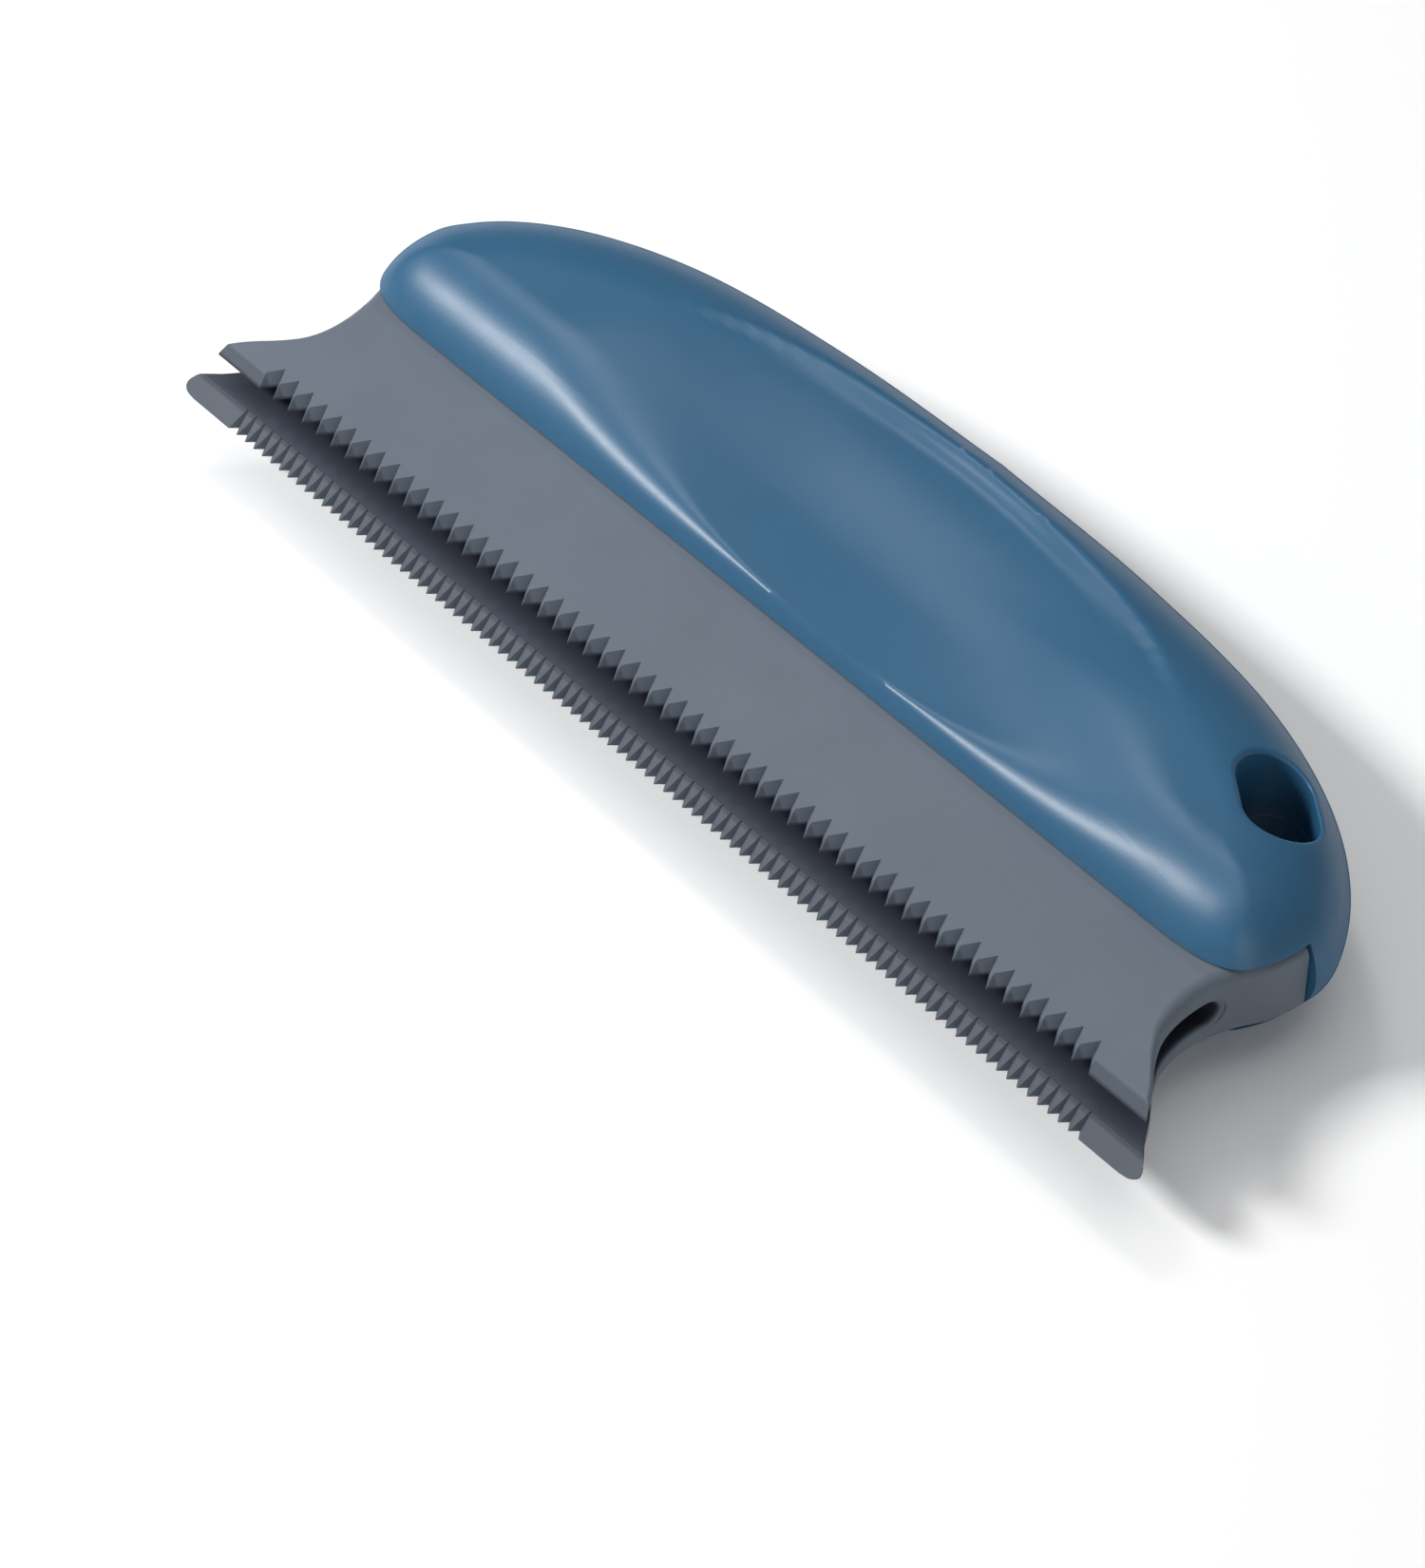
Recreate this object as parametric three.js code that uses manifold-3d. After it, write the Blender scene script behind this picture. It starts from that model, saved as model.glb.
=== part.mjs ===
// Hand-held deshedding tool: a two-part moulded handle and a rubber head with two toothed lips.
// Millimetres. The tool lies on the back of its handle: X runs along it, Y from the teeth to the
// handle's crest, Z up from the back to the front. Sections are drawn in (x, h, t), where h is the
// height above the front lip's corner and t is the distance forward of the middle plane.

import * as THREE from 'three';
import { mergeVertices } from 'three/addons/utils/BufferGeometryUtils.js';
import Module from 'manifold-3d';

const wasm = await Module();
wasm.setup();

// ---------------------------------------------------------------- driving dimensions
const HALF_THICK = 12.3;        // half the handle's thickness
const CREST_H = 57.75;          // top of the handle
const LOWEST_H = -3.0;          // edge of the rear lip
const WALL = 3.0;               // handle wall

const MOUTH_H = 29.9;           // roof of the gap that takes the head
const CHANNEL_T = 5.5;          // half the gap's width

// Width of the rounding along the handle's outline, by the height of the edge that is rounded.
const FRONT_ROLL = [[18.5, 12], [24, 12], [30, 13.6], [36, 15.2], [50, 15.2]];
const REAR_ROLL = [[18.5, 9.5], [22, 20], [30, 20], [35, 11.2], [46, 11.2], [52, 15]];

// Thumb recess: a long dish under the crest, open towards the rim. Its floor bows up to both ends.
const RECESS = {
  topH: 51, topDrop: 5.4, topDropX: 31,   // top edge's height at mid-length, its drop topDropX away
  floor: [7.6, 8.9],                      // distance from the middle plane, by the rim and by the wall
  climbH: [30, 46],                       // heights between which the floor climbs
  wall: 2.4,                              // width of the steep wall under the top edge
  wallPower: 1.6,
  middleX: [8, 1],                        // middle along x, by the rim and under the crest
  halfX: [50, 36],                        // and half length
  bowl: 2.3,                              // power of the floor's curve along x
  lip: 0.8,                               // softness of the edge
};

const HEAD_T = 5.25;            // half the head's thickness under the handle
const HEAD_TOP_H = 29.6;
const HEAD_KNEE_H = 17.85;      // below this the head tapers to its lips
const SLOT_T = 1.6;             // half the width of the slot between the lips
const SLOT_TOP_H = 19.2;

// Each lip ends in a slope that faces forward and down, cut into teeth by V-shaped grooves.
const COARSE = {
  count: 53, pitch: 2.7, depth: 1.8, shift: -0.5,
  front: [3.5, 2.2], back: [1.6, 1.0],            // ends of the slope, (t, h)
  rootFront: 4.0, rootBack: 2.8,                  // height of the grooves' roots there
};
const FINE = {
  count: 91, pitch: 1.62, depth: 1.05, shift: 0.3,
  front: [-1.6, -0.5], back: [-3.5, -3.0],
  rootFront: -0.3, rootBack: -1.95,
};
const TIP_LAND = 0.12;          // flat left on each tooth's tip

const HANG_A = new THREE.Vector2(59.35, 40.72);     // axes of the hang hole's two ends
const HANG_B = new THREE.Vector2(62.79, 38.21);
const HANG_R = 4.5;
const HANG_WALL = 1.7;

const POSTS = [[-46, 38.5], [0, 42], [40, 38.5]];   // joining posts, (x, h)
const POST_R = 3.4;
const PIN_R = 1.7;
const SOCKET_R = 2.0;
const SPINE_T = 2.2;            // half the spine's thickness
const GAP = 0.3;                // clearance between separate pieces

const MID_Z = HALF_THICK;
const MID_H = (CREST_H + LOWEST_H) / 2;
const FAR = 100;

// Right half of the handle's outline at its middle plane, from the rim round the end to the crest.
const OUTLINE = [
  [0, 17.6], [40, 17.6], [60, 17.6], [66, 17.7], [70, 18.2], [73.2, 19.4], [75.2, 21.4],
  [76.6, 24.6], [77.3, 28.6], [76.9, 33.2], [73.8, 38.8], [68.2, 44.3], [59.9, 49.3],
  [46.8, 53.8], [25, 56.75], [0, 57.75],
];
const LOWER_CORNER = 5;         // outline points where the four-sided grid has its corners
const UPPER_CORNER = 11;

// Right half of the head's outline, from the rear lip's edge up the concave end.
const HEAD_END = [
  [80.7, -3], [81.9, -2.75], [82.4, -2.1], [82.1, -1.3], [81.5, -0.6], [80.9, 0.05], [80.2, 0.8],
  [79.5, 1.6], [78.9, 2.5], [78.1, 3.6], [77.1, 4.8], [76.1, 5.9], [75.1, 7.1], [74.2, 8.4],
  [73.5, 9.7], [73, 11.3], [72.7, 13], [72.55, 15.3], [72.65, 17.3], [72.95, 18.9], [73.35, 20.2],
  [73.8, 21.6], [74.35, 22.8], [74.95, 24], [75.45, 25.2], [75.85, 26.7], [76.1, 28.2],
  [76.25, 29.6],
];

// ---------------------------------------------------------------- solids
function merged(geometry) {
  const bare = geometry.clone();
  bare.deleteAttribute('normal');
  bare.deleteAttribute('uv');
  return mergeVertices(bare, 1e-4);
}

// Drops the triangles that merging has folded flat.
function cleanIndex(geometry) {
  const source = geometry.index.array;
  const kept = [];
  for (let i = 0; i < source.length; i += 3) {
    const [a, b, c] = [source[i], source[i + 1], source[i + 2]];
    if (a !== b && b !== c && c !== a) kept.push(a, b, c);
  }
  return new Uint32Array(kept);
}

function solid(geometry) {
  const body = merged(geometry);
  return new wasm.Manifold(new wasm.Mesh({
    numProp: 3,
    vertProperties: new Float32Array(body.attributes.position.array),
    triVerts: cleanIndex(body),
  }));
}

function toMesh(name, body, material) {
  const result = body.getMesh();
  const geometry = new THREE.BufferGeometry();
  const positions = Float32Array.from(result.vertProperties);
  geometry.setAttribute('position', new THREE.BufferAttribute(positions, 3));
  geometry.setIndex(new THREE.BufferAttribute(Uint32Array.from(result.triVerts), 1));
  geometry.computeVertexNormals();
  const mesh = new THREE.Mesh(geometry, material);
  mesh.name = name;
  return mesh;
}

// Moves a geometry drawn in (x, h, t) to the part's frame.
function place(geometry) {
  return geometry.translate(0, -MID_H, MID_Z);
}

// A side-view shape (x, h) made solid from t0 to t1.
function sideSlab(shape, t0, t1, curveSegments = 8) {
  const depth = t1 - t0;
  const geometry = new THREE.ExtrudeGeometry(shape, { depth, bevelEnabled: false, curveSegments });
  return solid(place(geometry.translate(0, 0, t0)));
}

// A cross-section (t, h) made solid from x0 to x1.
function crossSlab(points, x0, x1) {
  const shape = new THREE.Shape(points.map(([t, h]) => new THREE.Vector2(-t, h)));
  const geometry = new THREE.ExtrudeGeometry(shape, { depth: x1 - x0, bevelEnabled: false });
  return solid(place(geometry.rotateY(Math.PI / 2).translate(x0, 0, 0)));
}

function box(x0, x1, h0, h1, t0, t1) {
  const geometry = new THREE.BoxGeometry(x1 - x0, h1 - h0, t1 - t0);
  return solid(place(geometry.translate((x0 + x1) / 2, (h0 + h1) / 2, (t0 + t1) / 2)));
}

function post(x, h, radius, t0, t1, segments = 20) {
  const geometry = new THREE.CylinderGeometry(radius, radius, Math.abs(t1 - t0), segments);
  return solid(place(geometry.rotateX(Math.PI / 2).translate(x, h, (t0 + t1) / 2)));
}

function slotShape(radius) {
  const along = HANG_B.clone().sub(HANG_A);
  const angle = along.angle();
  const shape = new THREE.Shape();
  shape.absarc(HANG_B.x, HANG_B.y, radius, angle - Math.PI / 2, angle + Math.PI / 2, false);
  shape.absarc(HANG_A.x, HANG_A.y, radius, angle + Math.PI / 2, angle + 1.5 * Math.PI, false);
  return shape;
}

// ---------------------------------------------------------------- handle surface
// Quarter-ellipse rise from 0 at the edge to 1 once u reaches 1.
function rise(u) {
  const rest = 1 - Math.min(Math.max(u, 0), 1);
  return Math.sqrt(1 - rest * rest);
}

function smooth(a, b, v) {
  return THREE.MathUtils.smoothstep(v, a, b);
}

function curveThrough(points, samples) {
  const through = points.map(([x, h]) => new THREE.Vector3(x, h, 0));
  const curve = new THREE.CatmullRomCurve3(through, false, 'centripetal');
  return curve.getPoints(samples).map((p) => [p.x, p.y]);
}

const WALL_RISE = 4;            // climb of the recess's wall beyond its top edge, out of the way
const EDGE_STEPS = 10;          // samples between two outline points
const RIGHT_EDGE = curveThrough(OUTLINE, (OUTLINE.length - 1) * EDGE_STEPS);

// Value at a place in a table of [place, value] rows, straight between the rows.
function tabled(table, place) {
  const last = table.length - 1;
  if (place <= table[0][0]) return table[0][1];
  if (place >= table[last][0]) return table[last][1];
  let i = 1;
  while (table[i][0] < place) i += 1;
  const share = (place - table[i - 1][0]) / (table[i][0] - table[i - 1][0]);
  return THREE.MathUtils.lerp(table[i - 1][1], table[i][1], share);
}

// Forward distance of the rounded handle from the middle plane, without the recess.
function domeT(x, h, roll) {
  let lowest = 1;
  const px = Math.abs(x);
  for (let i = 0; i + 1 < RIGHT_EDGE.length; i += 1) {
    const [ax, ah] = RIGHT_EDGE[i];
    const [bx, bh] = RIGHT_EDGE[i + 1];
    const length2 = (bx - ax) ** 2 + (bh - ah) ** 2;
    const along = ((px - ax) * (bx - ax) + (h - ah) * (bh - ah)) / length2;
    const share = Math.min(Math.max(along, 0), 1);
    const edgeX = ax + share * (bx - ax);
    const edgeH = ah + share * (bh - ah);
    const distance = Math.hypot(px - edgeX, h - edgeH);
    lowest = Math.min(lowest, rise(distance / tabled(roll, edgeH)));
  }
  return HALF_THICK * lowest;
}

function recessFloor(x, h) {
  const upward = smooth(20, 38, h);
  const middle = THREE.MathUtils.lerp(...RECESS.middleX, upward);
  const half = THREE.MathUtils.lerp(...RECESS.halfX, upward);
  const level = THREE.MathUtils.lerp(...RECESS.floor, smooth(...RECESS.climbH, h));
  return level + (HALF_THICK - level) * (Math.abs(x - middle) / half) ** RECESS.bowl;
}

// The smaller of two values, with the crossing rounded off over the blend.
function softMin(a, b, blend) {
  const near = Math.max(blend - Math.abs(a - b), 0);
  return Math.min(a, b) - near ** 2 / (4 * blend);
}

// Forward distance of the handle's surface from the middle plane.
function handleT(x, h, roll) {
  const topH = RECESS.topH - RECESS.topDrop * (x / RECESS.topDropX) ** 2;
  const step = Math.max(domeT(x, topH, roll) - recessFloor(x, topH), 0);
  const below = (topH - h) / RECESS.wall;
  const fall = (1 - Math.min(Math.max(below, 0), 1)) ** RECESS.wallPower;
  const above = WALL_RISE * Math.max(-below, 0);
  const dish = recessFloor(x, h) + step * fall + above;
  return Math.max(softMin(domeT(x, h, roll), dish, RECESS.lip), 0);
}

// Right half of the handle's outline moved inward, split at the grid's corners.
function halfOutline(inset) {
  const last = RIGHT_EDGE.length - 1;
  const moved = RIGHT_EDGE.map(([x, h], i) => {
    const [ax, ah] = RIGHT_EDGE[Math.max(i - 1, 0)];
    const [bx, bh] = RIGHT_EDGE[Math.min(i + 1, last)];
    const length = Math.hypot(bx - ax, bh - ah);
    const nx = i === 0 || i === last ? 0 : -(bh - ah) / length;
    const nh = i === 0 ? 1 : i === last ? -1 : (bx - ax) / length;
    return new THREE.Vector2(x + inset * nx, h + inset * nh);
  });
  const corner = (index) => index * EDGE_STEPS;
  return {
    rim: moved.slice(0, corner(LOWER_CORNER) + 1),
    end: moved.slice(corner(LOWER_CORNER), corner(UPPER_CORNER) + 1),
    crest: moved.slice(corner(UPPER_CORNER)).reverse(),
  };
}

// Point at a fraction of a polyline's length.
function along(points, fraction) {
  const lengths = [0];
  for (let i = 1; i < points.length; i += 1) {
    lengths.push(lengths[i - 1] + points[i].distanceTo(points[i - 1]));
  }
  const target = fraction * lengths[lengths.length - 1];
  let i = 1;
  while (i < points.length - 1 && lengths[i] < target) i += 1;
  const share = (target - lengths[i - 1]) / (lengths[i] - lengths[i - 1]);
  return points[i - 1].clone().lerp(points[i], Math.min(Math.max(share, 0), 1));
}

// Grid of (x, h) points over the side view, packed closer towards its edges.
function sideGrid(inset, columns, rows) {
  const outline = halfOutline(inset);
  const mirrored = (points, s) => {
    const p = along(points, Math.abs(s));
    return new THREE.Vector2(Math.sign(s) * p.x, p.y);
  };
  const grid = [];
  for (let i = 0; i <= columns; i += 1) {
    const s = Math.sin((i / columns - 0.5) * Math.PI);
    const u = (s + 1) / 2;
    const low = mirrored(outline.rim, s);
    const high = mirrored(outline.crest, s);
    const column = [];
    for (let j = 0; j <= rows; j += 1) {
      const v = (1 - Math.cos((j / rows) * Math.PI)) / 2;
      const side = along(outline.end, v);
      const cornerLow = outline.end[0];
      const cornerHigh = outline.end[outline.end.length - 1];
      const cornerX = (2 * u - 1) * (cornerLow.x * (1 - v) + cornerHigh.x * v);
      const cornerH = cornerLow.y * (1 - v) + cornerHigh.y * v;
      column.push([
        low.x * (1 - v) + high.x * v + (2 * u - 1) * side.x - cornerX,
        low.y * (1 - v) + high.y * v + side.y - cornerH,
      ]);
    }
    grid.push(column);
  }
  return grid;
}

// Closed body between the plane t = floor and the surface t = height(x, h).
function reliefSolid(grid, floor, height) {
  const columns = grid.length - 1;
  const rows = grid[0].length - 1;
  const positions = [];
  const index = [];
  const add = (x, h, t) => positions.push(x, h, t) / 3 - 1;
  const surface = (x, h) => Math.max(height(x, h), floor);
  const top = grid.map((column) => column.map(([x, h]) => add(x, h, surface(x, h))));
  const base = grid.map((column) => column.map(([x, h]) => add(x, h, floor)));
  const quad = (a, b, c, d) => index.push(a, b, c, a, c, d);
  for (let i = 0; i < columns; i += 1) {
    for (let j = 0; j < rows; j += 1) {
      quad(top[i][j], top[i + 1][j], top[i + 1][j + 1], top[i][j + 1]);
      quad(base[i][j], base[i][j + 1], base[i + 1][j + 1], base[i + 1][j]);
    }
    quad(base[i][0], base[i + 1][0], top[i + 1][0], top[i][0]);
    quad(top[i][rows], top[i + 1][rows], base[i + 1][rows], base[i][rows]);
  }
  for (let j = 0; j < rows; j += 1) {
    quad(top[0][j], top[0][j + 1], base[0][j + 1], base[0][j]);
    quad(base[columns][j], base[columns][j + 1], top[columns][j + 1], top[columns][j]);
  }
  const geometry = new THREE.BufferGeometry();
  geometry.setAttribute('position', new THREE.Float32BufferAttribute(positions, 3));
  geometry.setIndex(index);
  return solid(place(geometry));
}

// ---------------------------------------------------------------- handle halves
const CAVITY_FLOOR = -1;        // the hollow is cut a little past the joint plane
const RIB_X = [-58, -30, -15, 15, 28];
const RIB_HALF = 0.8;
const SPINE_X = [-53, 48];      // reach of the spine's upper part
const SPINE_TOP_H = 47;
const POST_TIP_T = SPINE_T + GAP;
const PIN_END_T = -6.5;
const SOCKET_END_T = -7;

// One hollow half of the handle, on the front side, without its pins or sockets.
function shellHalf(roll) {
  const surface = (x, h) => handleT(x, h, roll);
  const outer = reliefSolid(sideGrid(0, 56, 26), 0, surface);
  const inner = (x, h) => surface(x, h) - WALL;
  let hollow = reliefSolid(sideGrid(WALL, 30, 14), CAVITY_FLOOR, inner);
  for (const x of RIB_X) {
    hollow = hollow.subtract(box(x - RIB_HALF, x + RIB_HALF, 0, FAR, CAVITY_FLOOR - 1, FAR));
  }
  for (const [x, h] of POSTS) {
    hollow = hollow.subtract(post(x, h, POST_R, CAVITY_FLOOR - 1, FAR));
  }
  hollow = hollow.subtract(sideSlab(slotShape(HANG_R + HANG_WALL), CAVITY_FLOOR - 1, FAR));
  return outer
    .subtract(hollow)
    .subtract(box(-FAR, FAR, 0, MOUTH_H, -FAR, CHANNEL_T))
    .subtract(box(SPINE_X[0] - GAP, SPINE_X[1] + GAP, 0, SPINE_TOP_H + GAP, -FAR, POST_TIP_T))
    .subtract(sideSlab(slotShape(HANG_R), -FAR, FAR));
}

// Mirrors a half in the middle plane, from the front to the back.
function mirroredToBack(body) {
  const source = body.getMesh();
  const vertProperties = Float32Array.from(source.vertProperties);
  for (let i = 2; i < vertProperties.length; i += 3) {
    vertProperties[i] = 2 * MID_Z - vertProperties[i];
  }
  const triVerts = Uint32Array.from(source.triVerts);
  for (let i = 0; i < triVerts.length; i += 3) {
    [triVerts[i], triVerts[i + 1]] = [triVerts[i + 1], triVerts[i]];
  }
  return new wasm.Manifold(new wasm.Mesh({ numProp: 3, vertProperties, triVerts }));
}

function handleShells() {
  let front = shellHalf(FRONT_ROLL);
  let rear = mirroredToBack(shellHalf(REAR_ROLL));
  for (const [x, h] of POSTS) {
    front = front.add(post(x, h, PIN_R, PIN_END_T, POST_TIP_T + 1, 16));
    rear = rear.subtract(post(x, h, SOCKET_R, SOCKET_END_T, 0, 16));
  }
  return { front, rear };
}

// ---------------------------------------------------------------- rubber head
const SPINE_BOTTOM_H = 22;
const SPINE_END_X = 69;

// Zigzag cutter whose grooves run across a lip, from its front edge to its back edge.
function toothCutter(lip) {
  const { count, pitch, depth, shift, front, back, rootFront, rootBack } = lip;
  const slope = (rootFront - rootBack) / (front[0] - back[0]);
  const reach = 1;              // how far the cutter passes the lip on each side
  const zig = (depth * pitch) / (pitch - TIP_LAND);
  const start = shift - (count * pitch) / 2;
  const points = [new THREE.Vector2(start, -FAR), new THREE.Vector2(start, rootBack - zig)];
  for (let i = 0; i < count; i += 1) {
    points.push(new THREE.Vector2(start + (i + 0.5) * pitch, rootBack));
    points.push(new THREE.Vector2(start + (i + 1) * pitch, rootBack - zig));
  }
  points.push(new THREE.Vector2(start + count * pitch, -FAR));
  const from = back[0] < 0 ? back[0] - reach : back[0] - reach / 2;
  const to = back[0] < 0 ? front[0] + reach / 2 : front[0] + reach;
  const shape = new THREE.Shape(points.reverse());
  const geometry = new THREE.ExtrudeGeometry(shape, { depth: to - from, bevelEnabled: false });
  geometry.translate(0, 0, from);
  const shear = new THREE.Matrix4().set(
    1, 0, 0, 0,
    0, 1, slope, -slope * back[0],
    0, 0, 1, 0,
    0, 0, 0, 1);
  return solid(place(geometry.applyMatrix4(shear)));
}

function headSection() {
  const slotArc = [];
  for (let i = 0; i <= 6; i += 1) {
    const angle = (i / 6) * Math.PI;
    slotArc.push([SLOT_T * Math.cos(angle), SLOT_TOP_H - SLOT_T + SLOT_T * Math.sin(angle)]);
  }
  return [
    [HEAD_T, HEAD_TOP_H], [HEAD_T, HEAD_KNEE_H], COARSE.front, COARSE.back,
    ...slotArc,
    FINE.front, FINE.back, [-HEAD_T, HEAD_KNEE_H], [-HEAD_T, HEAD_TOP_H],
  ];
}

function combHead() {
  const endPoints = curveThrough(HEAD_END, 54).map(([x, h]) => new THREE.Vector2(x, h));
  const outline = [...endPoints, ...endPoints.map((p) => new THREE.Vector2(-p.x, p.y)).reverse()];
  const pocketX = SPINE_END_X + GAP;
  const pocketT = SPINE_T + GAP;
  return crossSlab(headSection(), -FAR, FAR)
    .intersect(sideSlab(new THREE.Shape(outline), -FAR, FAR))
    .subtract(toothCutter(COARSE))
    .subtract(toothCutter(FINE))
    .subtract(box(-pocketX, pocketX, SPINE_BOTTOM_H - GAP, FAR, -pocketT, pocketT));
}

function headSpine() {
  const shoulder = HEAD_TOP_H;
  const shape = new THREE.Shape([
    new THREE.Vector2(-SPINE_END_X, SPINE_BOTTOM_H), new THREE.Vector2(SPINE_END_X, SPINE_BOTTOM_H),
    new THREE.Vector2(SPINE_END_X, shoulder), new THREE.Vector2(SPINE_X[1], shoulder),
    new THREE.Vector2(SPINE_X[1], SPINE_TOP_H), new THREE.Vector2(SPINE_X[0], SPINE_TOP_H),
    new THREE.Vector2(SPINE_X[0], shoulder), new THREE.Vector2(-SPINE_END_X, shoulder),
  ]);
  for (const [x, h] of POSTS) {
    const hole = new THREE.Path();
    hole.absarc(x, h, SOCKET_R, 0, 2 * Math.PI, true);
    shape.holes.push(hole);
  }
  return sideSlab(shape, -SPINE_T, SPINE_T, 8);
}

// ---------------------------------------------------------------- assembly
const bluePlastic = new THREE.MeshStandardMaterial({ color: 0x3d688a, roughness: 0.35, metalness: 0 });
const greyRubber = new THREE.MeshStandardMaterial({ color: 0x717c88, roughness: 0.75, metalness: 0 });
const darkPlastic = new THREE.MeshStandardMaterial({ color: 0x34393f, roughness: 0.6, metalness: 0 });

const shells = handleShells();
const tool = new THREE.Group();
tool.add(
  toMesh('handle_front_shell', shells.front, bluePlastic),
  toMesh('handle_rear_shell', shells.rear, bluePlastic),
  toMesh('comb_head', combHead(), greyRubber),
  toMesh('head_spine', headSpine(), darkPlastic),
);

export default tool;
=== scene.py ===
"""Looks of the deshedding tool: moulded blue handle in two halves and a grey rubber comb head.

The tool lies on the back of its handle, as in the CAD frame. Sections are drawn in millimetres in
(x, h, t): x along the tool, h from the front lip's corner up to the handle's crest, t forward of the
handle's middle plane. to_frame() turns them into the frame's metres.
"""

import math

import bmesh
import bpy
import numpy as np
from mathutils import Matrix, Vector


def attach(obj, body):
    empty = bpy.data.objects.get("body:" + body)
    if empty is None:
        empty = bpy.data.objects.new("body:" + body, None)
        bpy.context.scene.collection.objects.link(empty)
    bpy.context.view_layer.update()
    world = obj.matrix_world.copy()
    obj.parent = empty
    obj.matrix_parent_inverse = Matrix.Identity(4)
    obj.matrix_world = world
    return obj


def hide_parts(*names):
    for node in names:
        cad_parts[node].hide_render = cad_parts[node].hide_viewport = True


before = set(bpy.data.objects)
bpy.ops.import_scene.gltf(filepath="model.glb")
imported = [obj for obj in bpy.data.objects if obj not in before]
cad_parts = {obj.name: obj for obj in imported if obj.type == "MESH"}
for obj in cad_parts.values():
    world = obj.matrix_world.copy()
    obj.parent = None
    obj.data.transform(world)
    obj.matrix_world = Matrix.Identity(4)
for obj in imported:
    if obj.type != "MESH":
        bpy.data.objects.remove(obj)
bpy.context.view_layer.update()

# ---------------------------------------------------------------- driving dimensions, mm
MM = 0.001
HALF_THICK = 12.3
CREST_H = 57.75
LOWEST_H = -3.0
MID_H = (CREST_H + LOWEST_H) / 2

MOUTH_H = 29.9
CHANNEL_T = 5.5
# width of the rounding round the outline, by the height of the edge that is rounded
FRONT_ROLL = [(18.5, 12.0), (24.0, 12.0), (30.0, 13.6), (36.0, 15.2), (50.0, 15.2)]
REAR_ROLL = [
    (18.0, 9.5), (20.5, 19.0), (22.0, 21.0), (30.0, 20.0), (35.0, 11.2), (46.0, 11.2), (52.0, 15.0),
]
SEAM_BEVEL = 0.18

RECESS_TOP_H = 51.0             # top edge's height at mid-length
RECESS_TOP_DROP = (31.0, 5.4)   # and how much lower it is this far along x from there
RECESS_FLOOR = (7.6, 8.9)       # floor's distance from the middle plane, by the rim and by the wall
RECESS_CLIMB_H = (30.0, 46.0)   # heights between which the floor climbs
RECESS_WALL = 2.4               # width of the steep wall under the top edge
RECESS_WALL_POWER = 1.6         # power of the wall's curve
WALL_RISE = 4.0                 # slope of the wall carried on above the top edge
RECESS_MIDDLE = (8.0, 1.0)      # the recess's middle along x, by the rim and under the crest
RECESS_HALF = (50.0, 36.0)      # and its half length
RECESS_BOWL = 2.3               # power of the floor's curve along x
RECESS_LIP = (0.01, 0.8, 3.0)   # softness of the edge: at the rim, under the crest, at both ends

HEAD_T = 5.25
HEAD_TOP_H = 29.6
HEAD_KNEE_H = 17.85
HEAD_CORNER_R = (0.6, 1.7)     # at the lips and at the block
SLOT_T = 1.6
SLOT_TOP_H = 19.2
SLOT_END_R = (0.3, 0.8)

COARSE = dict(
    count=53, pitch=2.7, depth=1.8, shift=-0.5,
    front=(3.5, 2.2), back=(1.6, 1.0), root_front=4.0, root_back=2.8,
)
FINE = dict(
    count=91, pitch=1.62, depth=1.05, shift=0.3,
    front=(-1.6, -0.5), back=(-3.5, -3.0), root_front=-0.3, root_back=-1.95,
)
TIP_LAND = 0.12

HANG_A = np.array([59.35, 40.72])
HANG_B = np.array([62.79, 38.21])
HANG_R = 4.5
HANG_FILLET = 0.7

SPINE_HALF_T = 2.5
SPINE_X = (-53.3, 48.3)
SPINE_TOP_H = 47.3
POCKET_X = 69.3         # half length of the head's pocket for the spine
POCKET_FLOOR_H = 21.7

OUTLINE = [
    (0, 17.6), (40, 17.6), (60, 17.6), (66, 17.7), (70, 18.2), (73.2, 19.4), (75.2, 21.4),
    (76.6, 24.6), (77.3, 28.6), (76.9, 33.2), (73.8, 38.8), (68.2, 44.3), (59.9, 49.3),
    (46.8, 53.8), (25, 56.75), (0, 57.75),
]
FOLD = 7  # outline point where the handle's two rows of quads meet

HEAD_END = [
    (80.7, -3.0), (81.9, -2.75), (82.4, -2.1), (82.1, -1.3), (81.5, -0.6), (80.9, 0.05),
    (80.2, 0.8), (79.5, 1.6), (78.9, 2.5), (78.1, 3.6), (77.1, 4.8), (76.1, 5.9), (75.1, 7.1),
    (74.2, 8.4), (73.5, 9.7), (73.0, 11.3), (72.7, 13.0), (72.55, 15.3), (72.65, 17.3),
    (72.95, 18.9), (73.35, 20.2), (73.8, 21.6), (74.35, 22.8), (74.95, 24.0), (75.45, 25.2),
    (75.85, 26.7), (76.1, 28.2), (76.25, 29.6),
]


# ---------------------------------------------------------------- mesh helpers
def to_frame(points):
    """(x, h, t) in mm to the frame's axes, still in mm."""
    p = np.asarray(points, float)
    return np.column_stack([p[:, 0], p[:, 1] - MID_H, p[:, 2] + HALF_THICK])


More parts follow.
